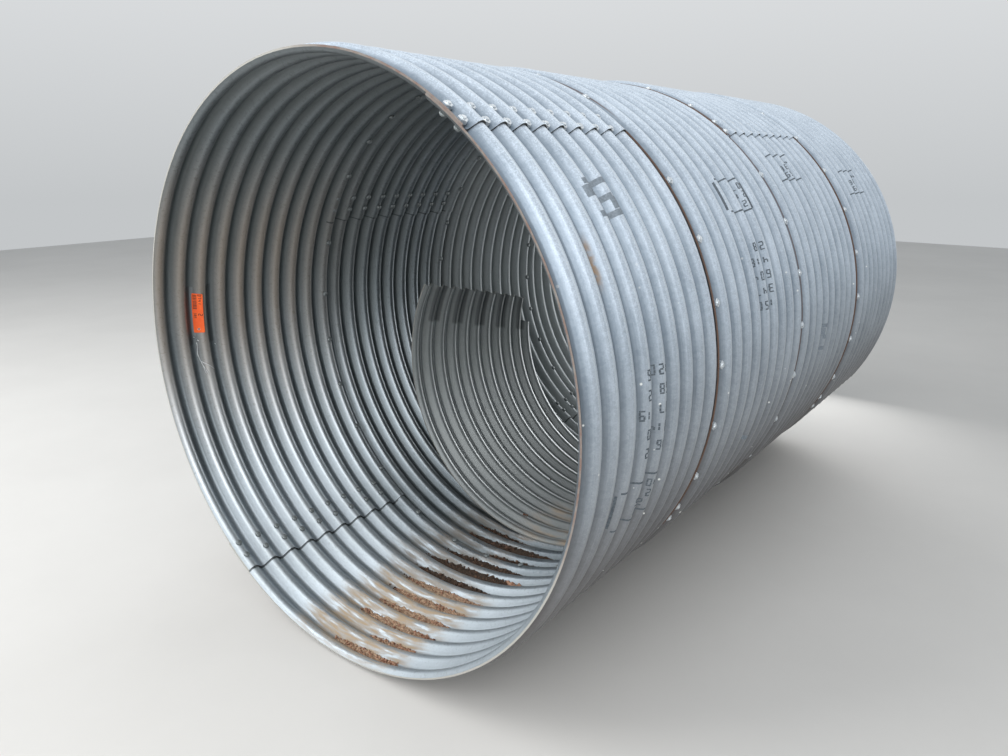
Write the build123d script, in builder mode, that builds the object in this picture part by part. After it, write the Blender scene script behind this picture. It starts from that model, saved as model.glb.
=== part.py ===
from build123d import *
from math import asin, atan, atan2, cos, degrees, hypot, radians, sin, sqrt, tan
import os

# A bolted steel culvert that lies on the ground. Four rings, each of two half-round
# corrugated plates, lap over each other along the pipe. Two spare plates lie nested
# inside it. Y runs along the pipe, away from the end that has the tag. Angles go
# round the pipe from its top towards +X.

# Driving dimensions of the pipe, in millimetres and degrees
bore_radius = 838.2  # to the inside ridges: a pipe of 66 inches
pitch = 76.2  # from one ridge to the next
wave_depth = 25.4
sheet = 3.5  # steel thickness, with its zinc
bend_radius = 14.3  # on the inside of each bend
ring_length = 685.8  # from one ring's near end to the next, made a whole number of waves
ring_count = 4
row_spacing = 50.8  # between the two bolt rows of a seam
outer_margin = 19.0  # from the outer plate's edge to the first bolt row
inner_margin = 50.0  # from the second bolt row to the inner plate's edge
seam_angle = 36.0  # to the middle of the first ring's right seam, between its bolt rows
seam_turn = 84.0  # from one ring's seams to the next ring's
nesting_gap = 0.3  # between lapped sheets, square to their slopes

# The two spare plates, which belong to a smaller pipe and lie in the second ring
spare_radius = 609.6  # to the upper one's inside ridges: a pipe of 48 inches
spare_rest_angle = 161.0  # where in the bore they touch down
spare_edge_angle = 292.4  # to the middle of the upper plate's left edge
spare_skew_angle = 16.0  # their ends are cut askew: the near corners are higher by this
spare_start_waves = 3  # from the second ring's near end to the upper plate's
spare_slip_waves = 1  # the lower plate lies this much further in
spare_turn_angle = 12.6  # the lower plate's left edge lies lower by this

# The tag, stuck on a slope of the near ring's inside that faces the rim
tag_width = 38.0
tag_height = 139.0
tag_thickness = 1.5
tag_corner = 4.0
tag_hole = 3.5  # radius, near its lower end
tag_hole_margin = 13.0
tag_half_waves = 4  # from the near rim to the middle of the slope
tag_shift = 6.0  # from there up towards the ridge
tag_angle = 274.4
tag_gap = 0.3

# A sheet is bends joined by straight flats, and slope is the angle of a flat
bend_middle = bend_radius + sheet / 2
rise = wave_depth - 2 * bend_middle
slope = atan2(rise, pitch / 2) + asin(2 * bend_middle / hypot(pitch / 2, rise))
waves_per_ring = round(ring_length / pitch)
bends_per_plate = 2 * waves_per_ring + 1
plate_length = bends_per_plate * pitch / 2
middle_offset = sheet / 2 + wave_depth / 2  # from the inside ridges to mid height

# Lapped sheets stand a nest apart. A ring's two plates move apart by a nest along the
# line of their seams, so a near end must clear the most that two such moves add up to.
nest = (sheet + nesting_gap) / cos(slope)
half_turn = radians(seam_turn / 2)
shingle = nest * (1 + max(sin(half_turn), cos(half_turn)))
ring_pitch = waves_per_ring * pitch
taper = shingle / ring_pitch
lean = atan(taper)
pipe_length = (ring_count - 1) * ring_pitch + plate_length

seam_lap = outer_margin + row_spacing + inner_margin
lap_angle = degrees(seam_lap / bore_radius)
outer_edge = degrees((outer_margin + row_spacing / 2) / bore_radius)
lip_radius = bore_radius + middle_offset + shingle / 2

# The pipe rests on the first crest of its odd rings' lower plates
crest_rise = cos(lean) * (wave_depth / 2 - bend_middle) + bend_middle + sheet / 2
crest_radius = lip_radius - sin(lean) * 0.75 * pitch + crest_rise
axis_height = crest_radius + nest / 2 * cos(radians(seam_angle))


def outward(angle):
    """Direction away from the pipe's axis at an angle from the top."""
    return Vector(sin(radians(angle)), 0, cos(radians(angle)))


def lip_point(side, end):
    """Corner of a sheet's near (-1) or far (1) end, which is cut square to the pipe."""
    up = side * sheet / 2 / cos(slope) / (1 + end * tan(slope) * taper)
    return Vector((end + 1) / 2 * plate_length - up * taper, up)


def wavy_side(side):
    """Draw the outside (1) or inside (-1) of a sheet and return its two ends."""
    half = side * sheet / 2
    first = lip_point(side, -1)
    here = first
    for i in range(bends_per_plate):
        crest = 1 if i % 2 else -1
        middle = ((i + 0.5) * pitch / 2, crest * (wave_depth / 2 - bend_middle))
        bend = CenterArc(
            middle,
            bend_middle + crest * half,
            crest * (90 + degrees(slope)),
            crest * -2 * degrees(slope),
        )
        Line(here, bend @ 0)
        here = bend @ 1
    last = lip_point(side, 1)
    Line(here, last)
    return first, last


def corrugated_plate(plane, axis, arc):
    """Turn the section of a sheet, drawn on the plane, about the axis."""
    with BuildPart() as plate:
        with BuildSketch(plane):
            with BuildLine():
                outside = wavy_side(1)
                inside = wavy_side(-1)
                for top, bottom in zip(outside, inside):
                    Line(top, bottom)
            make_face()
        revolve(axis=axis, revolution_arc=arc)
    return plate


def section_plane(centre, radius, angle):
    """Plane in which a plate is drawn: x along its slant from the near end, y outwards."""
    return Plane(
        origin=centre + outward(angle) * radius,
        x_dir=Vector(0, cos(lean), 0) - outward(angle) * sin(lean),
        z_dir=Vector(0, 1, 0).cross(outward(angle)),
    )


def curved_plate(centre, radius, start, arc):
    """A plate whose near end runs round the centre, from the start angle on."""
    return corrugated_plate(section_plane(centre, radius, start), Axis(centre, (0, 1, 0)), arc)


def ring_seam(ring, half):
    """Angle to the seam where this half of a ring laps outside the other half."""
    return seam_angle + ring % 2 * seam_turn + 180 * half


def ring_centre(ring, half):
    """Centre of a ring plate's near end, off the pipe's axis towards its own seam."""
    near = Vector(0, ring * ring_pitch - pipe_length / 2, axis_height)
    return near + outward(ring_seam(ring, half)) * (nest / 2)


def ring_plate(ring, half):
    """Half of a ring. Its last edge laps outside the other half, its first edge inside."""
    arc = 180 + lap_angle
    start = ring_seam(ring, half) + outer_edge - arc
    return curved_plate(ring_centre(ring, half), lip_radius, start, arc)


def skew_plane(centre, radius, angle, side):
    """Plane of a spare plate's first (-1) or last (1) end, which faces off the plate."""
    near = centre + outward(angle + spare_skew_angle / 2) * radius
    far = centre + outward(angle - spare_skew_angle / 2) * (radius - plate_length * taper)
    edge = far + Vector(0, plate_length, 0) - near
    return Plane(origin=near + edge * 0.5, x_dir=edge, z_dir=edge.cross(outward(angle)) * side)


def spare_plate(order):
    """A spare plate: 0 is the upper one, and 1 lies under it, nested in the second ring."""
    upper = spare_radius + middle_offset
    lower = upper + nest - spare_slip_waves * pitch * taper
    radius = (upper, lower)[order]
    floor = lip_radius - (spare_start_waves + spare_slip_waves) * pitch * taper
    along = (spare_start_waves + order * spare_slip_waves) * pitch
    centre = ring_centre(1, 1) + outward(spare_rest_angle) * (floor - nest - lower) + Vector(0, along, 0)
    arc = 180 + degrees(seam_lap / spare_radius)
    last = spare_edge_angle - order * spare_turn_angle
    start = last - arc - spare_skew_angle / 2
    with BuildPart() as plate:
        add(curved_plate(centre, radius, start, arc + spare_skew_angle).part)
        for angle, side in ((last - arc, -1), (last, 1)):
            with Locations(skew_plane(centre, radius, angle, side)):
                Box(
                    2 * plate_length,
                    8 * wave_depth,
                    3 * pitch,
                    align=(Align.CENTER, Align.CENTER, Align.MIN),
                    mode=Mode.SUBTRACT,
                )
    return plate


def curved_tag():
    """A tag bent to the pipe, its back on a slope, with a hole near its lower end."""
    centre = ring_centre(0, 0)
    arc = degrees(tag_height / bore_radius)
    first = tag_angle - arc / 2
    up = Vector(cos(slope), -sin(slope))
    off = Vector(-sin(slope), -cos(slope))
    seat = Vector(tag_half_waves * pitch / 2, 0) + up * tag_shift + off * (sheet / 2 + tag_gap)
    with BuildPart() as tag:
        with BuildSketch(section_plane(centre, lip_radius, first)):
            with Locations(Location(seat + off * (tag_thickness / 2), (0, 0, -degrees(slope)))):
                Rectangle(tag_width, tag_thickness)
        revolve(axis=Axis(centre, (0, 1, 0)), revolution_arc=arc)
        ends = tag.edges().filter_by(lambda edge: abs(edge.length - tag_thickness) < 0.01)
        fillet(ends, tag_corner)
        across = section_plane(centre, lip_radius, first + arc * tag_hole_margin / tag_height)
        with Locations(across * Pos(seat) * Rot(0, 0, -degrees(slope)) * Rot(90, 0, 0)):
            Cylinder(tag_hole, 10 * tag_thickness, mode=Mode.SUBTRACT)
    return tag


os.makedirs("parts", exist_ok=True)

for ring in range(ring_count):
    sides = ("right", "left") if ring % 2 else ("upper", "lower")
    for half, side in enumerate(sides):
        plate = ring_plate(ring, half)
        plate.part.label = f"ring_{ring + 1}_{side}_plate"
        export_step(plate.part, f"parts/{plate.part.label}.step")

upper_spare_plate = spare_plate(0)
upper_spare_plate.part.label = "upper_spare_plate"
export_step(upper_spare_plate.part, "parts/upper_spare_plate.step")

lower_spare_plate = spare_plate(1)
lower_spare_plate.part.label = "lower_spare_plate"
export_step(lower_spare_plate.part, "parts/lower_spare_plate.step")

tag = curved_tag()
tag.part.label = "tag"
export_step(tag.part, "parts/tag.step")
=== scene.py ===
from math import asin, atan, atan2, cos, degrees, hypot, pi, radians, sin, tan
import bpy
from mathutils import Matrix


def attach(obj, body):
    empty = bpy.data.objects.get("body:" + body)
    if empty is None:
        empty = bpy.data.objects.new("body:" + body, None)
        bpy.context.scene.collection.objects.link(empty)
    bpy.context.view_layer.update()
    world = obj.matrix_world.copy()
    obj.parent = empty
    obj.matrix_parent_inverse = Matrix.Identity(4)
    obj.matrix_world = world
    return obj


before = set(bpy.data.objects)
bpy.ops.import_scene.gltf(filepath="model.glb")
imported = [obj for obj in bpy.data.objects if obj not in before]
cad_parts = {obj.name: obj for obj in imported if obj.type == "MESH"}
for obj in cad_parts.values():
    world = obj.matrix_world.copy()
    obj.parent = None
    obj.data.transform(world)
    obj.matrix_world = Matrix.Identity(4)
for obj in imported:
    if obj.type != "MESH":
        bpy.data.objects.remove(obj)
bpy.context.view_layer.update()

from types import SimpleNamespace

import bpy
import numpy as np

# The pipe's own sizes, in metres and degrees, as the solids have them
BORE = 0.8382  # radius to the inside ridges
PITCH = 0.0762  # from one ridge to the next
DEPTH = 0.0254  # of the waves
SHEET = 0.0035  # steel thickness
BEND = 0.0143  # radius on the inside of each bend
GAP = 0.0003  # between lapped sheets, and under the tag
WAVES = 9  # in a ring
RINGS = 4
SEAM = 36.0  # from the top to the middle of the first ring's right seam
TURN = 84.0  # from one ring's seams to the next ring's
OUTER_MARGIN = 0.019  # from the outer plate's edge to the first bolt row
ROWS_APART = 0.0508
INNER_MARGIN = 0.050  # from the second bolt row to the inner plate's edge

# A sheet is bends joined by flats. Lapped sheets stand a nest apart, and a ring tapers
# by a shingle, so that its far end goes inside the next ring's near end.
BEND_MIDDLE = BEND + SHEET / 2
RISE = DEPTH - 2 * BEND_MIDDLE
SLOPE = atan2(RISE, PITCH / 2) + asin(2 * BEND_MIDDLE / hypot(PITCH / 2, RISE))
NEST = (SHEET + GAP) / cos(SLOPE)
SHINGLE = NEST * (1 + max(sin(radians(TURN / 2)), cos(radians(TURN / 2))))
RING = WAVES * PITCH
TAPER = SHINGLE / RING
LEAN = atan(TAPER)
LENGTH = (2 * RINGS * WAVES + 1) * PITCH / 2
LIP = BORE + SHEET / 2 + DEPTH / 2 + SHINGLE / 2
CREST = LIP - sin(LEAN) * 0.75 * PITCH + cos(LEAN) * (DEPTH / 2 - BEND_MIDDLE) + BEND_MIDDLE + SHEET / 2
AXIS = CREST + NEST / 2 * cos(radians(SEAM))

# The spare plates
PLATE = (2 * WAVES + 1) * PITCH / 2  # length of any plate
SPARE = 0.6096  # radius to the upper one's inside ridges
SPARE_START = 3  # waves from the second ring's near end to the upper one's
SPARE_REST = 161.0  # where in the bore they touch down
SPARE_EDGE = 292.4  # to the middle of the upper one's left edge
SPARE_SKEW = 16.0  # that edge's near corner is higher than its far one by this

# The tag
TAG_HEIGHT = 0.139
TAG_THICK = 0.0015
TAG_ANGLE = 274.4
TAG_SHIFT = 0.006  # from the middle of its slope up towards the ridge
TAG_HOLE_MARGIN = 0.013  # from its lower end to the middle of its hole


def outward(angle):
    """Directions away from the axis, at angles in degrees from the top towards +X."""
    turn = np.radians(angle)
    return np.stack([np.sin(turn), np.zeros_like(turn), np.cos(turn)], -1)


def seam_angle(ring, half):
    """Angle to the seam where a half of a ring laps outside the other half."""
    return SEAM + ring % 2 * TURN + 180 * half


def ring_centre(ring, half):
    """Centre of a plate's near end: half a nest off the pipe's axis towards its seam."""
    near = np.array([0, ring * RING - LENGTH / 2, AXIS])
    return near + outward(np.array(seam_angle(ring, half))) * NEST / 2


# Centre of the upper spare plate's near end: the lower one, a wave further in, rests on
# the bore, and the upper one nests in it
SPARE_LIP = SPARE + SHEET / 2 + DEPTH / 2
SPARE_FLOOR = LIP - (SPARE_START + 1) * PITCH * TAPER - NEST
SPARE_CENTRE = (
    ring_centre(1, 1)
    + outward(np.array(SPARE_REST)) * (SPARE_FLOOR - (SPARE_LIP + NEST - PITCH * TAPER))
    + np.array([0, SPARE_START * PITCH, 0])
)


def wave_height(along, off):
    """Height of a sheet's face above its middle, at a distance along it.

    A bend is an arc whose radius is the bend's, more or less the face's offset. A flat
    is the line between two bends. The first bend, a quarter wave in, goes inwards."""
    phase = np.mod(along / PITCH, 1)
    bend = np.where(phase < 0.5, -1.0, 1.0)
    aside = np.abs(np.where(phase < 0.5, phase - 0.25, phase - 0.75)) * PITCH
    radius = BEND_MIDDLE + bend * off
    arc = np.sqrt(np.maximum(radius**2 - aside**2, 0)) + DEPTH / 2 - BEND_MIDDLE
    flat = (PITCH / 4 - aside) * tan(SLOPE) + bend * off / cos(SLOPE)
    return bend * np.where(aside < radius * sin(SLOPE), arc, flat)


def on_slant(centre, lip, along, angle, height):
    """Points of a plate: along its slant, round from the top, and out from its middle.

    Its radius is the lip's at the near end and falls along it by the sine of the lean."""
    along, angle, height = np.broadcast_arrays(along, angle, height)
    radius = lip - along * sin(LEAN) + height * cos(LEAN)
    reach = along * cos(LEAN) + height * sin(LEAN)
    return centre + outward(angle) * radius[..., None] + reach[..., None] * np.array([0, 1, 0])


def on_plate(ring, half, along, angle, height):
    """Points of a ring's plate, placed as on any slant."""
    return on_slant(ring_centre(ring, half), LIP, along, angle, height)


def surface(name, grids, around=False, ends=False):
    """A mesh from grids of points: copies x rows x columns x 3.

    Each face joins a point to the next column and the next row. With around, the last
    column joins the first, and with ends, the first and last rows are closed."""
    copies, rows, columns = grids.shape[:3]
    index = np.arange(copies * rows * columns).reshape(copies, rows, columns)
    ring = np.concatenate([index, index[:, :, :1]], 2) if around else index
    quads = np.stack([ring[:, :-1, :-1], ring[:, :-1, 1:], ring[:, 1:, 1:], ring[:, 1:, :-1]], -1)
    faces = quads.reshape(-1, 4).tolist()
    if ends:
        faces += index[:, 0, ::-1].tolist() + index[:, -1, :].tolist()
    mesh = bpy.data.meshes.new(name)
    mesh.from_pydata(grids.reshape(-1, 3), [], faces)
    piece = bpy.data.objects.new(name, mesh)
    bpy.context.collection.objects.link(piece)
    return piece


def dress(piece, material, smooth=True):
    """Give a piece its material and slot, shade it, and fix it to the pipe."""
    piece.data.materials.append(material)
    piece.data.polygons.foreach_set("use_smooth", [smooth] * len(piece.data.polygons))
    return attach(piece, "root")


def colour(code):
    """An sRGB hex colour as linear red, green, blue and alpha."""
    parts = [int(code[i:i + 2], 16) / 255 for i in (1, 3, 5)]
    return [c / 12.92 if c <= 0.04045 else ((c + 0.055) / 1.055) ** 2.4 for c in parts] + [1]


def add(tree, kind, settings=None, inputs=None):
    """Add a node, set it up, and link or fill its inputs."""
    node = tree.nodes.new("ShaderNode" + kind)
    for name, value in (settings or {}).items():
        setattr(node, name, value)
    for socket, value in (inputs or {}).items():
        if isinstance(value, bpy.types.NodeSocket):
            tree.links.new(value, node.inputs[socket])
        else:
            node.inputs[socket].default_value = value
    return node


def new_material(name):
    """An empty material and its node tree."""
    material = bpy.data.materials.new(name)
    material.use_nodes = True
    material.node_tree.nodes.clear()
    return material, material.node_tree


def pipe_place(tree):
    """Where a point of a sheet is, as sockets.

    place is its place, along its distance from the near rim, spoke its direction from the
    axis, and turn and below its angle from the top and the bottom. crest is 1 on
    the outside crests and 0 in the grooves. outside is 1 where the face looks outwards,
    and cut is 1 on the cut edges, which look neither outwards nor inwards."""
    texture = add(tree, "TexCoord")
    place = texture.outputs["Object"]
    split = add(tree, "SeparateXYZ", inputs={0: place})
    up = add(tree, "Math", {"operation": "SUBTRACT"}, {0: split.outputs[2], 1: AXIS}).outputs[0]
    down = add(tree, "Math", {"operation": "MULTIPLY"}, {0: up, 1: -1.0}).outputs[0]
    turns = []
    for height in (up, down):
        turn = add(tree, "Math", {"operation": "ARCTAN2"}, {0: split.outputs[0], 1: height}).outputs[0]
        turns.append(add(tree, "Math", {"operation": "DEGREES"}, {0: turn}).outputs[0])
    along = add(tree, "Math", {"operation": "ADD"}, {0: split.outputs[1], 1: LENGTH / 2}).outputs[0]
    phase = add(tree, "Math", {"operation": "MULTIPLY"}, {0: along, 1: -2 * pi / PITCH}).outputs[0]
    wave = add(tree, "Math", {"operation": "SINE"}, {0: phase}).outputs[0]
    crest = add(tree, "MapRange", inputs={"Value": wave, "From Min": -1.0, "From Max": 1.0})
    spoke = add(tree, "CombineXYZ", inputs={0: split.outputs[0], 2: up})
    spoke = add(tree, "VectorMath", {"operation": "NORMALIZE"}, {0: spoke.outputs[0]})
    directions = {0: texture.outputs["Normal"], 1: spoke.outputs[0]}
    facing = add(tree, "VectorMath", {"operation": "DOT_PRODUCT"}, directions).outputs["Value"]
    outside = add(tree, "MapRange", inputs={"Value": facing, "From Min": -0.05, "From Max": 0.05})
    aside = add(tree, "Math", {"operation": "ABSOLUTE"}, {0: facing}).outputs[0]
    cut = add(tree, "MapRange", inputs={"Value": aside, "From Min": 0.58, "From Max": 0.45})
    inside = add(tree, "Math", {"operation": "SUBTRACT"}, {0: 1.0, 1: outside.outputs[0]})
    return SimpleNamespace(
        place=place,
        turn=turns[0],
        below=turns[1],
        spoke=spoke.outputs[0],
        along=along,
        crest=crest.outputs[0],
        outside=outside.outputs[0],
        inside=inside.outputs[0],
        cut=cut.outputs[0],
    )


def both(tree, *masks):
    """The product of masks or numbers."""
    product = masks[0]
    for mask in masks[1:]:
        product = add(tree, "Math", {"operation": "MULTIPLY"}, {0: product, 1: mask}).outputs[0]
    return product


def band(tree, value, low, high, edge):
    """1 between two values and 0 beyond them, with soft edges."""
    soft = {"interpolation_type": "SMOOTHSTEP"}
    rise = add(tree, "MapRange", soft, {"Value": value, "From Min": low - edge, "From Max": low + edge})
    fall = add(tree, "MapRange", soft, {"Value": value, "From Min": high + edge, "From Max": high - edge})
    return both(tree, rise.outputs[0], fall.outputs[0])


def zone(tree, turn, turns, along, lengths, *masks):
    """A band of angles times a band of lengths and any other masks.

    turns and lengths each give a first and a last value and the softness of the edges."""
    return both(tree, band(tree, turn, *turns), band(tree, along, *lengths), *masks)


def patches(tree, place, size, low, high, detail=4.0):
    """Ragged patches of a size in metres: 0 below one noise value and 1 above another."""
    settings = {"Vector": place, "Scale": 1 / size, "Detail": detail, "Roughness": 0.62}
    noise = add(tree, "TexNoise", inputs=settings).outputs[0]
    return add(tree, "MapRange", inputs={"Value": noise, "From Min": low, "From Max": high}).outputs[0]


def rolled(tree, at, long, wide):
    """Place for a noise drawn out round the pipe: degrees long and metres wide."""
    scale = (degrees(1) / long,) * 3
    around = add(tree, "VectorMath", {"operation": "MULTIPLY"}, {0: at.spoke, 1: scale}).outputs[0]
    across = add(tree, "Math", {"operation": "MULTIPLY"}, {0: at.along, 1: 1 / wide}).outputs[0]
    across = add(tree, "CombineXYZ", inputs={1: across}).outputs[0]
    return add(tree, "VectorMath", {"operation": "ADD"}, {0: around, 1: across}).outputs[0]


def streaks(tree, at, long, wide, low, high):
    """Streaks round the pipe: 0 below one noise value and 1 above another."""
    settings = {"Vector": rolled(tree, at, long, wide), "Scale": 1.0, "Detail": 5.0}
    noise = add(tree, "TexNoise", inputs=settings).outputs[0]
    return add(tree, "MapRange", inputs={"Value": noise, "From Min": low, "From Max": high}).outputs[0]


def coat(tree, under, mask, code):
    """Lay a colour over another one where a mask says."""
    return add(tree, "Mix", {"data_type": "RGBA"}, {0: mask, 6: under, 7: colour(code)}).outputs[2]


def galvanised(name, pale, dark, polish, marks):
    """Hot-dip galvanised steel sheet that has stood outdoors.

    A dull zinc skin: a pale speckle on the crests that the rolls rubbed, faint crystals
    8 mm across, clouds of 160 mm, and streaks 3 mm wide along the waves. The speckle is
    drawn nearly 4 mm, as the real one is too fine to show. The outside crests are paler
    all over and the grooves so darker: partly rubbed zinc, partly painted highlight and shade."""
    material, tree = new_material(name)
    at = pipe_place(tree)
    flakes = add(tree, "TexVoronoi", inputs={"Vector": at.place, "Scale": 1 / 0.008, "Randomness": 1.0})
    crystal = add(tree, "SeparateColor", inputs={0: flakes.outputs["Color"]}).outputs[0]
    broad = {"Vector": at.place, "Scale": 1 / 0.16, "Detail": 5.0, "Roughness": 0.6}
    cloud = add(tree, "TexNoise", inputs=broad).outputs[0]
    speckle = patches(tree, at.place, 0.0036, 0.46, 0.62, 2.0)
    narrow = {"Vector": rolled(tree, at, 20.0, 0.0033), "Scale": 1.0, "Detail": 3.0}
    streak = add(tree, "TexNoise", inputs=narrow).outputs[0]

    # The speckle lies on the crests, and is fainter from the pipe's middle height down
    top = add(tree, "Math", {"operation": "POWER"}, {0: at.crest, 1: 2.0}).outputs[0]
    fading = {"Value": at.turn, "From Min": 90.0, "From Max": 40.0, "To Min": 0.35}
    high = add(tree, "MapRange", inputs=fading).outputs[0]
    tone = both(tree, speckle, top, at.outside, high, 0.46)
    for part, share in ((crystal, 0.10), (cloud, 0.45), (streak, 0.35)):
        tone = add(tree, "Math", {"operation": "MULTIPLY_ADD"}, {0: part, 1: share, 2: tone}).outputs[0]
    # The outside crests paler all over: partly rubbed zinc, partly painted highlight
    lift = both(tree, top, at.outside, 0.40)
    tone = add(tree, "Math", {"operation": "ADD"}, {0: tone, 1: lift}).outputs[0]
    tone = add(tree, "MapRange", inputs={"Value": tone, "From Min": 0.36, "From Max": 1.08}).outputs[0]
    skin = add(tree, "Mix", {"data_type": "RGBA"}, {0: tone, 6: colour(dark), 7: colour(pale)}).outputs[2]

    dirt, skin = marks(tree, skin, at)
    metal = add(tree, "MapRange", inputs={"Value": dirt, "To Min": 0.82, "To Max": 0.0})
    span = {"Value": tone, "To Min": polish, "To Max": polish + 0.13}
    worn = add(tree, "MapRange", inputs=span).outputs[0]
    worn = add(tree, "Math", {"operation": "MULTIPLY_ADD"}, {0: at.outside, 1: 0.10, 2: worn}).outputs[0]
    rough = add(tree, "Math", {"operation": "MULTIPLY_ADD", "use_clamp": True}, {0: dirt, 1: 0.5, 2: worn})
    height = add(tree, "Math", {"operation": "MULTIPLY_ADD"}, {0: speckle, 1: 0.4, 2: streak})
    bump = add(tree, "Bump", inputs={"Height": height.outputs[0], "Strength": 0.25, "Distance": 0.0004})
    steel = add(
        tree,
        "BsdfPrincipled",
        inputs={
            "Base Color": skin,
            "Metallic": metal.outputs[0],
            "Roughness": rough.outputs[0],
            "Normal": bump.outputs[0],
        },
    )
    add(tree, "OutputMaterial", inputs={0: steel.outputs[0]})
    return material


def inside_marks(tree, skin, at):
    """What weather and soil left on the pipe's inside, with painted shade, light and highlights, laid in
    turn.

    Gives the skin, and a mask of how much of the metal is hidden."""
    ridge = add(tree, "Math", {"operation": "SUBTRACT"}, {0: 1.0, 1: at.crest}).outputs[0]

    # The inside greyed all over and darker still in the upper half: painted shade and a
    # painted reflection of dark ground; and dark specks on the ridges
    skin = coat(tree, skin, both(tree, at.inside, 0.28), "#85867f")
    # Painted shade and painted reflection of dark ground over the upper half
    upper = zone(tree, at.turn, (-90.0, 60.0, 22.0), at.along, (-1.0, 1.2, 0.4), at.inside, 0.54)
    skin = coat(tree, skin, upper, "#50524d")
    pits = both(tree, patches(tree, at.place, 0.010, 0.59, 0.63, 2.0), ridge, at.inside, 0.65)
    skin = coat(tree, skin, pits, "#565e60")

    # Tan on the ridges of the left wall near the rim: a painted reflection of brown ground
    painted_ground_reflection = zone(tree, at.turn, (-115.0, -55.0, 20.0), at.along, (-1.0, 0.7, 0.3), at.inside, ridge, 0.52)
    skin = coat(tree, skin, painted_ground_reflection, "#a3907b")

    # Painted shade in the grooves all round, less of it low down near the rim, where a pale
    # painted light lies over the grooves, and painted highlights on the ridges of the lower left
    low = zone(tree, at.below, (-52.0, 62.0, 16.0), at.along, (-1.0, 0.6, 0.25), at.inside)
    less_painted_shade_low = add(tree, "MapRange", inputs={"Value": low, "To Min": 1.0, "To Max": 0.25}).outputs[0]
    # Painted shade: the grooves darkened
    valley = add(tree, "MapRange", inputs={"Value": at.crest, "From Min": 0.2, "From Max": 0.75}).outputs[0]
    shade = both(tree, valley, at.inside, less_painted_shade_low, 0.45)
    skin = coat(tree, skin, shade, "#434a47")
    # Painted highlight: the ridges of the lower left made paler
    worn = add(tree, "MapRange", inputs={"Value": at.crest, "From Min": 0.4, "From Max": 0.1}).outputs[0]
    worn = both(tree, worn, band(tree, at.turn, -155.0, -98.0, 12.0), at.inside, 0.4)
    skin = coat(tree, skin, worn, "#e9eff2")
    # Painted light low down near the rim
    skin = coat(tree, skin, both(tree, low, 0.35), "#c3ccd1")

    # Tan film round the dry soil, and a greyer one round the damp soil further in
    drawn = streaks(tree, at, 5.0, 0.007, 0.37, 0.63)
    dry = zone(tree, at.below, (-14.0, 15.0, 4.0), at.along, (0.01, 0.46, 0.03), at.inside, drawn, 0.78)
    skin = coat(tree, skin, dry, "#a98e68")
    damp = zone(tree, at.below, (-18.0, 6.0, 6.0), at.along, (0.46, 1.0, 0.04), at.inside, drawn, 0.6)
    skin = coat(tree, skin, damp, "#8a7861")

    # Paler far in: painted light from the far opening; and darker on the middle of the left wall
    painted_far_light = both(tree, band(tree, at.along, 1.35, 4.0, 0.15), at.inside)
    skin = coat(tree, skin, both(tree, painted_far_light, 0.6), "#a3a8a7")
    middle = zone(tree, at.turn, (-200.0, -62.0, 18.0), at.along, (0.65, 1.5, 0.2), at.inside, 0.42)
    skin = coat(tree, skin, middle, "#4b5253")

    # Painted shadow in the gaps under the inner plates' edges, the same in the odd rings and in the even
    lap = degrees((OUTER_MARGIN + ROWS_APART + INNER_MARGIN) / BORE)
    edge = degrees((OUTER_MARGIN + ROWS_APART / 2) / BORE) - lap
    turned = add(tree, "Math", {"operation": "ADD"}, {0: at.turn, 1: 360.0}).outputs[0]
    turned = add(tree, "Math", {"operation": "MODULO"}, {0: turned, 1: 180.0}).outputs[0]
    pair = add(tree, "Math", {"operation": "MODULO"}, {0: at.along, 1: 2 * RING}).outputs[0]
    for seam, near, far in ((SEAM, -1.0, RING), (SEAM + TURN, RING, 9.0)):
        turns = (seam + edge - 0.42, seam + edge, 0.04)
        painted_gap_shadow = zone(tree, turned, turns, pair, (near, far, 0.002), at.inside, 0.75)
        skin = coat(tree, skin, painted_gap_shadow, "#2f3435")

    # Dark patches with hard ends in the grooves beside the tag, and a pale strip along it
    for turns, lengths, share, code in (
        ((-93.0, -79.0, 0.25), (0.112, 0.1345, 0.002), 0.4, "#3b3534"),
        ((-93.0, -79.0, 0.25), (0.184, 0.214, 0.002), 0.45, "#3a3d3d"),
        ((-91.0, -79.2, 0.25), (0.1345, 0.145, 0.001), 0.6, "#80878b"),
    ):
        skin = coat(tree, skin, zone(tree, at.turn, turns, at.along, lengths, at.inside, share), code)

    hidden = dry
    for mask, share in ((damp, 1.0), (shade, 0.5), (painted_ground_reflection, 0.8), (upper, 0.5), (low, 0.25), (painted_far_light, 0.5)):
        hidden = add(tree, "Math", {"operation": "MULTIPLY_ADD"}, {0: mask, 1: share, 2: hidden}).outputs[0]
    return skin, hidden


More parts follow.
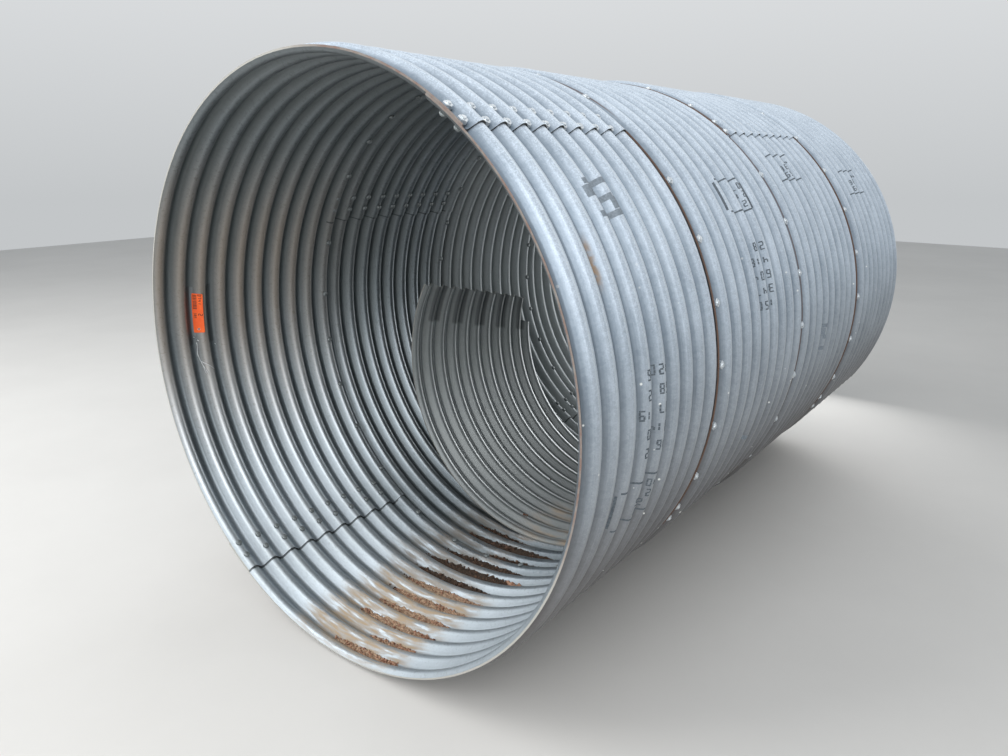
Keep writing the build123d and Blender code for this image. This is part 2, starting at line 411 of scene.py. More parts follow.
def outside_marks(tree, skin, at, ragged):
    """What weather and soil left on the pipe's outside, with painted shade and highlights,
    and a mask of its rust streak.
    """
    # Painted shade in the grooves with a thin darker line of painted shade in each, and a
    # painted highlight along each crest
    for first, last, share, code in (
        (0.55, 0.06, 0.68, "#6f7b86"),
        (0.016, 0.004, 0.45, "#414a52"),
        (0.955, 0.985, 0.35, "#dfe7ec"),
    ):
        span = {"Value": at.crest, "From Min": first, "From Max": last}
        line = add(tree, "MapRange", inputs=span).outputs[0]
        skin = coat(tree, skin, both(tree, line, at.outside, share), code)

    # Brown over the low part: painted shade and a painted reflection of the dark ground
    painted_low_shade = both(tree, band(tree, at.below, -86.0, 88.0, 20.0), at.outside, 0.45)
    skin = coat(tree, skin, painted_low_shade, "#645a50")
    painted_lowest_shade = both(tree, band(tree, at.below, -68.0, 68.0, 16.0), at.outside, 0.5)
    skin = coat(tree, skin, painted_lowest_shade, "#5b4c3f")

    # A thin brown line along the slope past each lapped near end: partly a painted stand-in
    # for the rusty lip and partly painted shadow of the lap's gap
    for near, turns in ((RING + 0.035, (-40.0, 33.0, 4.0)), (2 * RING + 0.0315, (20.0, 140.0, 4.0))):
        lap_line_and_shadow = zone(tree, at.turn, turns, at.along, (near, near + 0.003, 0.0006), at.outside, 0.7)
        skin = coat(tree, skin, lap_line_and_shadow, "#5d463b")

    streak = zone(tree, at.turn, (60.0, 67.0, 2.0), at.along, (0.163, 0.186, 0.005), at.outside, ragged, 0.6)
    return coat(tree, skin, streak, "#b58a4c"), streak


def edge_marks(tree, skin, at, ragged):
    """Cut edges are bare steel: dark along the seams, partly bare steel and partly painted
    shadow, rusty round the rings' near ends, and on the near rim chalky, with red patches
    at the right."""
    # Painted shadow with the bare steel: every cut edge darkened
    skin = coat(tree, skin, at.cut, "#3d3c3a")
    ends = add(tree, "Math", {"operation": "ADD"}, {0: at.along, 1: RING / 2}).outputs[0]
    ends = add(tree, "Math", {"operation": "MODULO"}, {0: ends, 1: RING}).outputs[0]
    ends = both(tree, band(tree, ends, RING / 2 - 0.006, RING / 2 + 0.006, 0.001), at.cut)
    skin = coat(tree, skin, ends, "#6a554a")
    rim = both(tree, band(tree, at.along, -0.1, 0.006, 0.001), at.cut)
    skin = coat(tree, skin, rim, "#a5a49e")
    tones = {0: both(tree, ragged, 0.7), 6: colour("#817c77"), 7: colour("#74574c")}
    red = add(tree, "Mix", {"data_type": "RGBA"}, tones).outputs[2]
    right = both(tree, rim, band(tree, at.turn, 2.0, 108.0, 8.0))
    return add(tree, "Mix", {"data_type": "RGBA"}, {0: right, 6: skin, 7: red}).outputs[2]


def pipe_marks(tree, skin, at):
    """All marks on the pipe, and a mask of how much of the metal they hide."""
    ragged = patches(tree, at.place, 0.02, 0.36, 0.62, 6.0)
    skin, hidden = inside_marks(tree, skin, at)
    skin, streak = outside_marks(tree, skin, at, ragged)
    skin = edge_marks(tree, skin, at, ragged)

    # White specks on the outside, low down: a dot in most cells of 40 mm
    cells = add(tree, "TexVoronoi", inputs={"Vector": at.place, "Scale": 1 / 0.04, "Randomness": 1.0})
    chosen = add(tree, "SeparateColor", inputs={0: cells.outputs["Color"]}).outputs[1]
    speck = both(
        tree,
        band(tree, cells.outputs["Distance"], -1.0, 0.085, 0.02),
        band(tree, chosen, 0.62, 2.0, 0.01),
        band(tree, at.turn, 70.0, 190.0, 15.0),
        at.outside,
    )
    skin = coat(tree, skin, speck, "#eceeec")
    for mask in (streak, at.cut, speck):
        hidden = add(tree, "Math", {"operation": "ADD", "use_clamp": True}, {0: hidden, 1: mask}).outputs[0]
    return hidden, skin


def spare_marks(tree, skin, at):
    """Marks on the spare plates: a dull film from damp storage, dark where their ends
    lay covered by the next plates, and tan stains low down."""
    film = both(tree, at.inside, 0.22)
    skin = coat(tree, skin, film, "#676a68")

    # The flats are darkened, a painted reflection of dark surroundings, and the bends carry
    # painted highlights as bright lines
    wave = add(tree, "Math", {"operation": "SUBTRACT"}, {0: at.crest, 1: 0.5}).outputs[0]
    bend = add(tree, "Math", {"operation": "ABSOLUTE"}, {0: wave}).outputs[0]
    flat = add(tree, "MapRange", inputs={"Value": bend, "From Min": 0.48, "From Max": 0.40}).outputs[0]
    painted_dark_reflection = both(tree, flat, at.inside, 0.45)
    skin = coat(tree, skin, painted_dark_reflection, "#616564")
    worn = add(tree, "MapRange", inputs={"Value": bend, "From Min": 0.465, "From Max": 0.49}).outputs[0]
    skin = coat(tree, skin, both(tree, worn, at.inside, 0.6), "#e6eaeb")

    # The left end was cut askew, so its angle falls by the skew from near to far
    split = add(tree, "SeparateXYZ", inputs={0: at.place})
    middle_x, _, middle_z = (float(value) for value in SPARE_CENTRE)
    aside = add(tree, "Math", {"operation": "SUBTRACT"}, {0: split.outputs[0], 1: middle_x}).outputs[0]
    up = add(tree, "Math", {"operation": "SUBTRACT"}, {0: split.outputs[2], 1: middle_z}).outputs[0]
    angle = add(tree, "Math", {"operation": "ARCTAN2"}, {0: aside, 1: up}).outputs[0]
    angle = add(tree, "Math", {"operation": "DEGREES"}, {0: angle}).outputs[0]
    near = RING + SPARE_START * PITCH
    slant = add(tree, "Math", {"operation": "SUBTRACT"}, {0: at.along, 1: near}).outputs[0]
    skew = {0: slant, 1: SPARE_SKEW / PLATE, 2: angle}
    edge = add(tree, "Math", {"operation": "MULTIPLY_ADD"}, skew).outputs[0]
    first = SPARE_EDGE + SPARE_SKEW / 2 - 360
    phase = add(tree, "Math", {"operation": "MULTIPLY"}, {0: slant, 1: -pi / PITCH}).outputs[0]
    every_other = add(tree, "Math", {"operation": "SINE"}, {0: phase}).outputs[0]
    turns = (first - 15.0, first + 9.0, 0.7)
    covered = zone(tree, edge, turns, every_other, (0.05, 2.0, 0.12), at.inside, 0.56)
    skin = coat(tree, skin, covered, "#34383a")

    drawn = streaks(tree, at, 9.0, 0.020, 0.42, 0.64)
    stain = zone(tree, at.below, (0.0, 24.0, 6.0), slant, (-0.1, 0.32, 0.08), at.inside, drawn, 0.6)
    skin = coat(tree, skin, stain, "#a38a6c")
    skin = coat(tree, skin, both(tree, at.cut, 0.8), "#8b8a84")
    hidden = film
    for mask in (stain, at.cut, painted_dark_reflection):
        hidden = add(tree, "Math", {"operation": "MAXIMUM"}, {0: hidden, 1: mask}).outputs[0]
    return hidden, skin


def plain(name, low, high, scale, roughness, metallic=0.0, depth=0.0):
    """A finish of two tones in soft patches of a given size in metres, with its bumps."""
    material, tree = new_material(name)
    place = add(tree, "TexCoord").outputs["Object"]
    settings = {"Vector": place, "Scale": 1 / scale, "Detail": 6.0, "Roughness": 0.6}
    noise = add(tree, "TexNoise", inputs=settings).outputs[0]
    tone = add(tree, "MapRange", inputs={"Value": noise, "From Min": 0.35, "From Max": 0.65}).outputs[0]
    mixed = add(tree, "Mix", {"data_type": "RGBA"}, {0: tone, 6: colour(low), 7: colour(high)})
    bump = add(tree, "Bump", inputs={"Height": noise, "Strength": 0.6, "Distance": depth})
    finish = add(
        tree,
        "BsdfPrincipled",
        inputs={
            "Base Color": mixed.outputs[2],
            "Metallic": metallic,
            "Roughness": roughness,
            "Normal": bump.outputs[0],
        },
    )
    add(tree, "OutputMaterial", inputs={0: finish.outputs[0]})
    return material


# Dull bluish zinc, rougher outside than inside, where it still shines a little
zinc_sheet = galvanised("galvanised steel sheet, weathered", "#d2dde8", "#8693a0", 0.30, pipe_marks)
# Greyer and more even, with a softer shine, as it stood out of the weather
spare_sheet = galvanised("galvanised steel sheet, stored damp", "#c4c9ca", "#92989a", 0.22, spare_marks)
# Brighter than the sheet, its flats softened by runs of zinc some 8 mm long
nut_zinc = plain("hot-dip galvanised nut", "#c4ccd2", "#eef2f4", 0.008, 0.34, 0.85, 0.0003)
# Darker than the nuts: painted shade, as the heads sit on the shaded inside
shaded_head_zinc = plain("hot-dip galvanised bolt head", "#666c6d", "#8b9192", 0.006, 0.55, 0.5, 0.0003)
# A strong flat orange with a slight sheen, a little faded in patches of 20 mm
vinyl = plain("printed vinyl", "#f0560a", "#fa6814", 0.02, 0.45)
# Matt pale tan crumbs. Its grain is drawn 4 mm, as one under 1 mm is too fine to show
dry_silt = plain("dried silt", "#6f5443", "#c9ab8e", 0.004, 0.95, 0.0, 0.002)
# Nearly black brown, a little less matt, in clods of 6 mm
wet_silt = plain("damp silt", "#2e241c", "#4d3b2d", 0.006, 0.8, 0.0, 0.002)
# Reddish stones, each of nearly one tone, as the patches are wider than a stone
dry_grit = plain("crushed reddish stone", "#7d5340", "#c09a80", 0.012, 0.9, 0.0, 0.0005)
# The same, darkened by the wet
wet_grit = plain("crushed reddish stone, damp", "#33271f", "#6d5140", 0.012, 0.8, 0.0, 0.0005)
# Thin grey ink rolled through a stencil, so the zinc's shine comes through a little
ink = plain("stencil ink", "#747e87", "#8f99a2", 0.006, 0.6, 0.3)
# The same, laid thicker and so darker
thin_ink = plain("stencil ink, small print", "#4c555d", "#6a737b", 0.006, 0.6, 0.3)
# Black with the vinyl's sheen
print_ink = plain("printing ink", "#140f0c", "#1f1814", 0.004, 0.5)
# Dry and matt, mottled in browns some 8 mm apart
dead_leaf = plain("dead leaf", "#5c3a26", "#8a5a3c", 0.008, 0.8, 0.0, 0.0004)
# Bright with a soft shine, nearly even all over
bright_wire = plain("drawn steel wire", "#cdd1d3", "#eceff0", 0.01, 0.35, 0.5)

# The solids' finishes
for node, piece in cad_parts.items():
    piece.data.materials.clear()
    piece.data.materials.append(vinyl if node == "tag" else spare_sheet if "spare" in node else zinc_sheet)

# Height, radius and how far from round to six-sided, from the sheet outwards. Half inch
# bolts: a heavy nut, 22 mm across the flats, stands outside on a shoulder that fits the
# groove, and a low round head 21 mm wide sits on the ridge inside.
NUT = [(0.0008, 0.0060, 0), (0.0050, 0.0108, 0), (0.0054, 0.0111, 1), (0.0140, 0.0111, 1)]
NUT += [(0.0154, 0.0098, 0)]
END = [(0.0154, 0.0064, 0), (0.0178, 0.0064, 0), (0.0186, 0.0055, 0)]
HEAD = [(0.0002, 0.0104, 0), (0.0040, 0.0102, 0), (0.0068, 0.0082, 0), (0.0084, 0.0045, 0)]


def fasteners(name, profile, seats, axes, ends=True):
    """Copies of a turned profile on their seats, each along its own axis.

    A row of the profile is a circle or, when it is six-sided, a circle whose radius
    grows from each flat to the corners by one over the cosine."""
    turn = np.radians(np.arange(0, 360, 30))
    corner = 1 / np.cos(np.radians(np.abs(np.mod(np.arange(0, 360, 30) + 30, 60) - 30)))
    height, radius, sided = np.array(profile).T
    reach = radius[:, None] * (1 + sided[:, None] * (corner - 1))
    axes = axes / np.linalg.norm(axes, axis=-1, keepdims=True)
    first = np.broadcast_to(np.array([0.0, 1.0, 0.0]), axes.shape)
    second = np.cross(axes, first)
    grids = (
        seats[:, None, None]
        + axes[:, None, None] * height[None, :, None, None]
        + first[:, None, None] * (reach * np.cos(turn))[None, :, :, None]
        + second[:, None, None] * (reach * np.sin(turn))[None, :, :, None]
    )
    return surface(name, grids, around=True, ends=ends)


def bolt_seats():
    """Seats and directions of every nut and head, from the rows of the seams."""
    nut_seats, head_seats, outs = [], [], []

    def bolt(outer, outer_along, inner, inner_along, angle):
        """One bolt through an outer and an inner plate, each given by ring and half."""
        groove = wave_height(np.array(outer_along), SHEET / 2)
        ridge = wave_height(np.array(inner_along), -SHEET / 2)
        nut_seats.append(on_plate(*outer, outer_along, angle, groove))
        head_seats.append(on_plate(*inner, inner_along, angle, ridge))
        outs.append(outward(np.array(float(angle))))

    half_row = degrees(ROWS_APART / 2 / BORE)
    for ring in range(RINGS):
        for half in range(2):
            for side in (-half_row, half_row):
                for wave in range(WAVES):
                    along = (wave + 0.25) * PITCH
                    angle = seam_angle(ring, half) + side
                    bolt((ring, half), along, (ring, 1 - half), along, angle)

    # Bolts round the laps of the rings, at the angles that show, or else evenly
    even = [3 + 12 * i for i in range(30)]
    seen = [3, 15, 27, 51, 63, 75, 86.5, 98.6, 110, 132, 144, 156, 168, 179, 190, 204, 221]
    seen += [235, 248, 261, 274, 288.6, 309, 321, 331, 341, 352]
    for ring, angles in ((1, seen), (2, even), (3, even)):
        for angle in angles:
            # Within 5 degrees of a seam its own bolts hold the lap
            seam = seam_angle(ring, 0)
            if abs((angle - seam + 90) % 180 - 90) < 5:
                continue
            half = 0 if (seam - angle) % 360 < 180 else 1
            before = 0 if (seam_angle(ring - 1, 0) - angle) % 360 < 180 else 1
            bolt((ring, half), 0.25 * PITCH, (ring - 1, before), (WAVES + 0.25) * PITCH, angle)
    return np.array(nut_seats), np.array(head_seats), np.array(outs)


nuts, heads, outs = bolt_seats()
dress(fasteners("nuts", NUT, nuts, outs), nut_zinc, smooth=False)
dress(fasteners("bolt_ends", END, nuts, outs), nut_zinc, smooth=False)
dress(fasteners("bolt_heads", HEAD, heads, -outs), shaded_head_zinc)

# Soil and stones are rough in the same way on each run
rng = np.random.default_rng(7)


def smooth_noise(shape, passes):
    """Random heights about zero, each averaged with its neighbours a few times."""
    noise = rng.normal(size=shape)
    for _ in range(passes):
        for axis in (-2, -1):
            noise = 0.5 * noise + 0.25 * (np.roll(noise, 1, axis) + np.roll(noise, -1, axis))
    return noise / noise.std()


# Angles from the top between which soil lies in each groove, from the near rim inwards
BEDS = [(166, 185), (166, 180), (166, 188.6), (166, 188), (165, 188.5), (164.6, 189)]
BEDS += [(167, 190), (162, 191), (164.5, 189.6), (160, 184), (162, 191), (176, 192)]
FLOOR = DEPTH / 2 - SHEET / 2  # height of a groove's bottom, seen from inside


def bed_depth(bed, angle):
    """Depth of soil in a groove: level with both its ends, but only part of that."""
    low, high = np.radians(BEDS[bed][0]), np.radians(BEDS[bed][1])
    turn = np.radians(angle)
    share = (np.sin(turn) - np.sin(low)) / (np.sin(high) - np.sin(low))
    level = np.cos(low) * (1 - share) + np.cos(high) * share
    return 0.62 * (LIP + FLOOR) * (level - np.cos(turn))


def bed_place(bed, angle, across, above):
    """Points in a groove: round it, across it from its middle, and above its floor."""
    ring, wave = divmod(bed, WAVES)
    return on_plate(ring, 1, (wave + 0.75) * PITCH + across, angle, FLOOR - above)


def half_width(depth):
    """How far from a groove's middle a level lies that stands this deep."""
    aside = np.linspace(0, PITCH / 2, 60)
    rise = FLOOR - wave_height(0.75 * PITCH + aside, -SHEET / 2)
    return np.interp(depth, rise, aside)


def beds(name, chosen):
    """Soil in grooves: its rough top from side to side, then back under the sheet's face."""
    share = np.linspace(0, 1, 110)
    side = np.linspace(-1, 1, 15)
    grids = []
    for bed in chosen:
        low, high = BEDS[bed]
        angle = low + (high - low) * share
        depth = np.maximum(bed_depth(bed, angle), 0)
        ragged = smooth_noise((110, 1), 3)
        width = half_width(depth) * (1 + 0.16 * ragged[:, 0]) + 0.001
        lumps = 0.0013 * smooth_noise((110, 15), 1) + 0.0009 * smooth_noise((110, 15), 4)
        across = width[:, None] * side
        floor = FLOOR - wave_height(0.75 * PITCH + across, -SHEET / 2)
        top = np.maximum(depth[:, None] + lumps * np.minimum(depth[:, None] / 0.004, 1), floor - 0.0004)
        top[:, 0] = floor[:, 0] - 0.0006
        top[:, -1] = floor[:, -1] - 0.0006
        top[0] = floor[0] - 0.0006
        top[-1] = floor[-1] - 0.0006
        upper = bed_place(bed, angle[:, None], across, top)
        lower = bed_place(bed, angle[:, None], across[:, 1:-1], floor[:, 1:-1] - 0.0016)
        grids.append(np.concatenate([upper, lower[:, ::-1]], 1))
    return surface(name, np.array(grids), around=True, ends=True)


def pebbles(name, middles, sizes):
    """Rough stones: balls of four rings and six sides, each point moved at random."""
    polar = np.radians([24, 66, 114, 156])
    turn = np.radians(np.arange(0, 360, 60))
    ball = np.stack(
        [
            np.sin(polar)[:, None] * np.cos(turn),
            np.sin(polar)[:, None] * np.sin(turn),
            -np.cos(polar)[:, None] * np.ones(6),
        ],
        -1,
    )
    stretch = rng.uniform(0.65, 1.25, (len(middles), 1, 1, 3))
    rough = rng.uniform(0.82, 1.15, (len(middles), 4, 6, 1))
    grids = middles[:, None, None] + ball * rough * stretch * sizes[:, None, None, None]
    return surface(name, grids, around=True, ends=True)


def scatter(chosen, each, smallest, largest):
    """Places and sizes of grit on the beds, a few bigger ones among many small."""
    middles, sizes = [], []
    for bed in chosen:
        low, high = BEDS[bed]
        angle = low + (high - low) * rng.uniform(0.01, 0.99, each)
        depth = np.maximum(bed_depth(bed, angle), 0)
        across = half_width(depth) * rng.uniform(-1.0, 1.0, each)
        floor = FLOOR - wave_height(0.75 * PITCH + across, -SHEET / 2)
        size = smallest + (largest - smallest) * rng.uniform(0, 1, each) ** 4
        middles.append(bed_place(bed, angle, across, np.maximum(depth, floor) + 0.35 * size))
        sizes.append(size)
    return np.concatenate(middles), np.concatenate(sizes)


def cluster(bed, angle, count, smallest, largest):
    """A heap of stones on a bed about one angle."""
    angles = angle + rng.normal(0, 1.1, count)
    size = rng.uniform(smallest, largest, count)
    depth = np.maximum(bed_depth(bed, angles), 0)
    across = rng.normal(0, 0.004, count)
    floor = FLOOR - wave_height(0.75 * PITCH + across, -SHEET / 2)
    return bed_place(bed, angles, across, np.maximum(depth, floor) + 0.5 * size), size


dry, damp = range(0, 6), range(6, 12)
dress(beds("dry_soil", dry), dry_silt)
dress(beds("damp_soil", damp), wet_silt)

# Heaps of stones: the bed, the angle, how many, the smallest and the largest. One heap of
# dry stones lies on the eighth bed, and most damp beds end in small stones.
dry_heaps = [(0, 168, 14, 0.003, 0.006), (1, 169, 9, 0.003, 0.0055), (2, 168, 18, 0.003, 0.0065)]
dry_heaps += [(3, 169, 10, 0.002, 0.005), (7, 164.5, 12, 0.005, 0.010)]
damp_heaps = [(10, 178, 10, 0.004, 0.008), (9, 176, 10, 0.004, 0.008)]
damp_heaps += [(bed, BEDS[bed][1] - 0.4, 9, 0.0015, 0.004) for bed in (4, 5, 6, 7, 8, 10)]
for name, spread, heaps, material in (
    ("grit", (dry, 130, 0.0012, 0.0050), dry_heaps, dry_grit),
    ("damp_grit", (damp, 120, 0.0015, 0.0060), damp_heaps, wet_grit),
):
    stones = [scatter(*spread)] + [cluster(*heap) for heap in heaps]
    middles, sizes = (np.concatenate(part) for part in zip(*stones))
    dress(pebbles(name, middles, sizes), material, smooth=False)


def on_spare(along, angle, above):
    """Points over the upper spare plate's inside, from its near end and its own centre."""
    return on_slant(SPARE_CENTRE, SPARE_LIP, along, angle, wave_height(along, -SHEET / 2) - above)


def leaf():
    """A curled leaf: its width grows and shrinks as a sine, and its sides curl upwards."""
    share = np.linspace(0, 1, 12)[:, None]
    side = np.linspace(-1, 1, 9)
    width = 0.011 * np.sin(pi * np.clip(share, 0.03, 0.97)) ** 0.7
    angle = 190.2 + 2.2 * (share - 0.5)
    curl = 0.005 * side**2 + 0.002 * np.sin(6 * share) + 0.002
    upper = on_spare(0.10 + width * side, angle, curl + 0.0006)
    lower = on_spare(0.10 + width * side, angle, curl)
    grid = np.concatenate([upper, lower[:, ::-1]], 1)
    return surface("leaf", grid[None], around=True, ends=True)


dress(leaf(), dead_leaf)

# Five crumbs of dirt on the upper spare plate, by distance from its near end and angle
crumbs = np.array([(0.274, 196.2), (0.405, 198.9), (0.504, 204.5), (0.36, 189.0), (0.19, 207.0)])
places = on_spare(crumbs[:, 0], crumbs[:, 1], np.full(5, 0.0005))
dress(pebbles("dirt_specks", places, np.full(5, 0.0042)), wet_grit, smooth=False)


def tube(name, paths, radius):
    """Wires of six sides along paths of points, closed at both ends."""
    along = np.gradient(paths, axis=1)
    along /= np.linalg.norm(along, axis=-1, keepdims=True)
    first = np.cross(along, np.array([0.0, 1.0, 0.3]))
    first /= np.linalg.norm(first, axis=-1, keepdims=True)
    second = np.cross(along, first)
    turn = np.radians(np.arange(0, 360, 60))
    grids = (
        paths[:, :, None]
        + radius * first[:, :, None] * np.cos(turn)[:, None]
        + radius * second[:, :, None] * np.sin(turn)[:, None]
    )
    return surface(name, grids, around=True, ends=True)


def strand(points):
    """A wire on the near ring's inside, through places given by distance and angle."""
    share = np.linspace(0, 1, 24)
    knots = np.linspace(0, 1, len(points))
    along, angle, above = (np.interp(share, knots, part) for part in np.array(points).T)
    height = wave_height(along, -SHEET / 2) - above
    return on_plate(0, 0, along, angle, height)


# The tag's wire: two long strands and a short one that curl down from its hole, and three
# bits of 3 mm, each through points given by distance, angle and height over the sheet
bent = [(0.143, 267.3, 0.003), (0.143, 266.4, 0.006), (0.142, 264.4, 0.003)]
bent += [(0.146, 262.7, 0.002), (0.183, 260.4, 0.004)]
curled = [(0.144, 267.3, 0.004), (0.144, 266.2, 0.003), (0.141, 264.4, 0.002)]
curled += [(0.148, 262.3, 0.002), (0.160, 259.3, 0.003)]
short = [(0.144, 263.6, 0.002), (0.147, 262.6, 0.002), (0.150, 261.6, 0.003)]
short += [(0.152, 260.6, 0.003), (0.154, 259.6, 0.003)]
wires = [bent, curled, short]
for along, angle in ((0.136, 268.7), (0.146, 267.9), (0.2135, 266.2)):
    wires.append([(along + 0.0008 * i, angle - 0.06 * i, 0.003) for i in range(5)])
dress(tube("tag_wire", np.array([strand(wire) for wire in wires]), 0.0011), bright_wire)

# Strokes of a digit in a cell one wide and two high: left, bottom, width and height
STROKES = {
    "a": (0.06, 1.70, 0.88, 0.30),
    "b": (0.70, 1.05, 0.30, 0.60),
    "c": (0.70, 0.35, 0.30, 0.60),
    "d": (0.06, 0.0, 0.88, 0.30),
    "e": (0.0, 0.35, 0.30, 0.60),
    "f": (0.0, 1.05, 0.30, 0.60),
    "g": (0.20, 0.85, 0.60, 0.30),
}
DIGITS = dict(zip("0123456789", "abcdef bc abged abgcd fgbc afgcd afgedc abc abcdefg abcdfg".split()))


def number(text, along, angle, height, stretch=1.0):
    """Strokes of a number: where each starts, and its size along and round the pipe.

    It starts at its right end and stands on its head, as the plates were marked flat."""
    unit = height / 2
    strokes = []
    for i, digit in enumerate(text):
        for key in DIGITS.get(digit, ""):
            left, bottom, width, tall = STROKES[key]
            start = along - stretch * unit * (1.5 * i + left + width)
            round_by = degrees(unit / LIP)
            strokes.append((start, angle + bottom * round_by, stretch * unit * width, tall * round_by))
    return strokes


def frame_lines(along, angle, width, tall, line):
    """Four strokes of a stencilled frame, broken at its corners."""
    round_by = degrees(line / LIP)
    return [
        (along + 2 * line, angle, width - 4 * line, round_by),
        (along + 2 * line, angle + tall - round_by, width - 4 * line, round_by),
        (along, angle + 2 * round_by, line, tall - 4 * round_by),
        (along + width - line, angle + 2 * round_by, line, tall - 4 * round_by),
    ]


def on_outside(along, turn, above):
    """Points over the outside of the plate that covers a stroke's middle."""
    ring = int(along[0, along.shape[1] // 2] // RING)
    half = 0 if (seam_angle(ring, 0) - turn[0, 0]) % 360 < 180 else 1
    near = along - ring * RING
    return on_plate(ring, half, near, turn, wave_height(near, SHEET / 2) + above)


def on_tag(across, turn, above):
    """Points over the tag's face: across it from its middle, away from the rim."""
    aside = TAG_SHIFT + across
    lift = SHEET / 2 + GAP + TAG_THICK + above
    along = 2 * PITCH + cos(SLOPE) * aside - sin(SLOPE) * lift
    return on_plate(0, 0, along, turn, -sin(SLOPE) * aside - cos(SLOPE) * lift)


def paint(name, strokes, place, columns=13):
    """Strokes as skins of paint that follow what they are on: a quarter of a millimetre
    over its face, and sunk in it, with more columns where they cross its waves."""
    grids = []
    for start, angle, width, tall in strokes:
        along = start + width * np.linspace(0, 1, columns)
        turn = angle + tall * np.linspace(0, 1, 4)[:, None]
        along, turn = np.broadcast_arrays(along, turn)
        upper = place(along, turn, 0.00025)
        lower = place(along, turn, -0.0008)
        grids.append(np.concatenate([upper[:, ::-1], lower], 1))
    return surface(name, np.array(grids), around=True, ends=True)


# Big numbers, two blocks of small ones and four frames with numbers in them, each placed
# by its distance from the near rim and its angle
strokes = number("5", 0.385, 49.8, 0.105, 2.2)
strokes += number("5", 1.70, 89.5, 0.10, 1.4) + number("7", 1.05, 102.0, 0.10, 1.4)
dress(paint("stencil_numbers", strokes, on_outside, 61), ink, smooth=False)
strokes, frames = [], []
for start, top, apart, rows in (
    (0.375, 81.2, 3.2, ("120 46", "58 712", "37 2419", "814 90", "46 152")),
    (1.115, 66.0, 3.0, ("253 81", "480 16", "617 042", "39 347", "18 250")),
):
    for i, row in enumerate(rows):
        strokes += number(row, start, top + apart * i, 0.027, 0.85)
for start, top in ((0.955, 51.6), (1.535, 45.6), (0.185, 100.0), (2.225, 51.6)):
    frames += frame_lines(start, top, 0.225, 7.6, 0.005)
    for i, row in enumerate(("4075", "21 36", "2859")):
        strokes += number(row, start + 0.185 - 0.012 * i, top + 1.2 + 2.0 * i, 0.022)
dress(paint("stencil_frames", frames, on_outside, 81), thin_ink, smooth=False)
dress(paint("stencil_rows", strokes, on_outside), thin_ink, smooth=False)

# A steel eyelet round the tag's hole: its section is closed, so it is a ring
EYELET = [(-0.0003, 0.0037, 0), (0.0008, 0.0039, 0), (0.0012, 0.0047, 0), (0.0008, 0.0056, 0)]
EYELET += [(-0.0003, 0.0058, 0)]
hole = TAG_ANGLE - degrees(TAG_HEIGHT / BORE) * (0.5 - TAG_HOLE_MARGIN / TAG_HEIGHT)
seat, over = (on_tag(np.zeros(1), np.array([hole]), above) for above in (0.0, 0.001))
eyelet = fasteners("eyelet", EYELET + EYELET[:1], seat, over - seat, ends=False)
dress(eyelet, bright_wire)

# Plain bars and numbers on the tag: each number's place across and round, and height.
# They read up the tag, so a digit's width is laid round the pipe.
printed = [(-0.015, 275.4 + 0.27 * i, 0.013, (0.16, 0.09, 0.12)[i % 3]) for i in range(13)]
for text, across, top, height in (
    ("0741", 0.002, 279.0, 0.0125),
    ("2", 0.001, 274.3, 0.015),
    ("385", -0.014, 274.4, 0.009),
):
    unit = height / 2
    round_by = degrees(unit / BORE)
    for i, digit in enumerate(text):
        for key in DIGITS[digit]:
            left, bottom, width, tall = STROKES[key]
            start = top - round_by * (1.5 * i + left + width)
            printed.append((across + unit * bottom, start, unit * tall, round_by * width))
dress(paint("tag_print", printed, on_tag), print_ink, smooth=False)

# A matt floor, nearly even, with cloudy patches over a metre wide
floor_material = plain("pale studio floor", "#dcdad6", "#e2e0dc", 1.5, 0.9)
floor = surface("floor", np.array([[[[-12, -12, 0], [12, -12, 0]], [[-12, 12, 0], [12, 12, 0]]]], float))
floor.data.materials.append(floor_material)

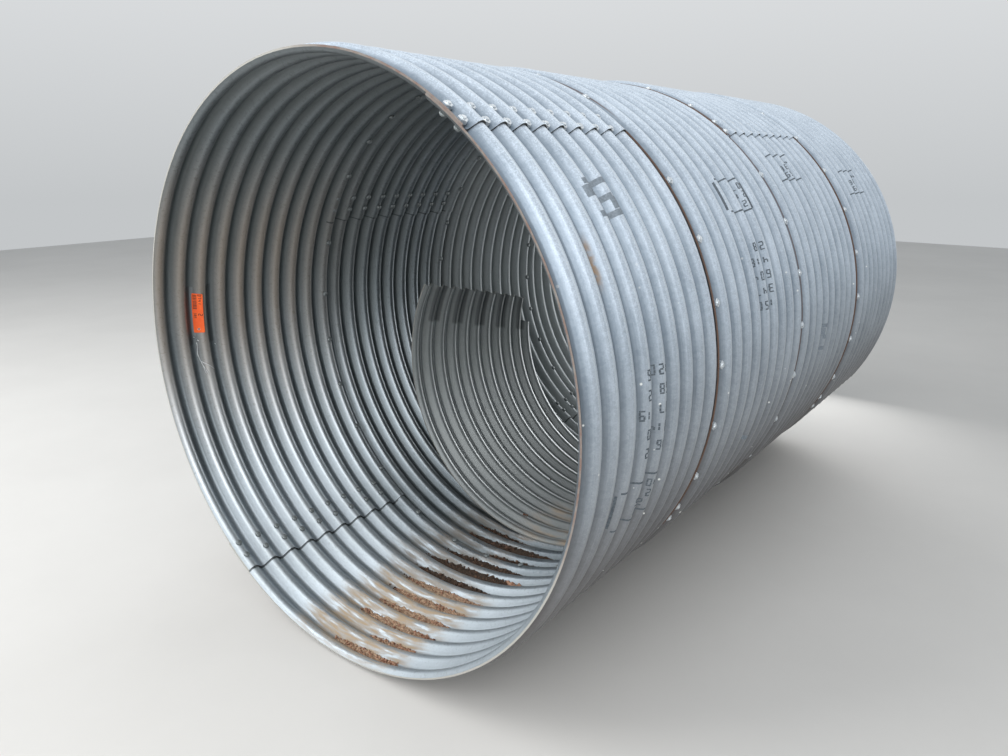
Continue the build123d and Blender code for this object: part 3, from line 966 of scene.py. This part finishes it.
# The backdrop is pale to the camera and in reflections, and lights the object more weakly
world = bpy.data.worlds.new("studio")
world.use_nodes = True
bpy.context.scene.world = world
tree = world.node_tree
tree.nodes.clear()
ray = add(tree, "LightPath")
seen_by = {0: ray.outputs["Is Camera Ray"], 1: ray.outputs["Is Glossy Ray"]}
sees = add(tree, "Math", {"operation": "MAXIMUM"}, seen_by)
skywards = add(tree, "SeparateXYZ", inputs={0: add(tree, "TexCoord").outputs["Generated"]})
height = add(tree, "MapRange", inputs={"Value": skywards.outputs[2], "From Min": -0.05, "From Max": 0.45})
tones = {0: height.outputs[0], 6: colour("#c3c6c8"), 7: colour("#f2f4f6")}
shade = add(tree, "Mix", {"data_type": "RGBA"}, tones)
soft = add(tree, "Background", inputs={0: colour("#e6ecf2"), 1: 0.5})
backdrop = add(tree, "Background", inputs={0: shade.outputs[2], 1: 1.0})
mixed = add(tree, "MixShader", inputs={0: sees.outputs[0], 1: soft.outputs[0], 2: backdrop.outputs[0]})
add(tree, "OutputWorld", inputs={0: mixed.outputs[0]})


def softbox(name, place, aim, size, power):
    """A square area light that points at a place."""
    light = bpy.data.lights.new(name, "AREA")
    light.shape = "SQUARE"
    light.size = size
    light.energy = power
    lamp = bpy.data.objects.new(name, light)
    lamp.location = place
    way = np.array(aim, float) - np.array(place, float)
    way /= np.linalg.norm(way)
    lamp.rotation_euler = (float(np.arccos(-way[2])), 0, float(np.arctan2(-way[0], way[1])))
    lamp.visible_camera = False
    bpy.context.collection.objects.link(lamp)


softbox("top", (0.6, 0.6, 5.8), (0, 0, 0.9), 5.0, 35)
softbox("left", (-4.2, -5.2, 4.8), (0, -1.0, 0.5), 5.0, 370)
softbox("front", (3.0, -7.0, 4.0), (-0.3, -1.0, 0.6), 6.0, 360)
softbox("back", (0, 2.3, 0.95), (0, 1.0, 0.9), 1.4, 16)

# The camera as it was fitted to the photograph
camera_data = bpy.data.cameras.new("camera")
camera_data.sensor_width = 36
camera_data.lens = 27.48
camera = bpy.data.objects.new("camera", camera_data)
camera.location = (1.654, -2.660, 1.489)
camera.rotation_euler = (radians(90 - 16.44), 0, radians(38.29))
bpy.context.collection.objects.link(camera)
bpy.context.scene.camera = camera
bpy.context.scene.view_settings.view_transform = "Standard"
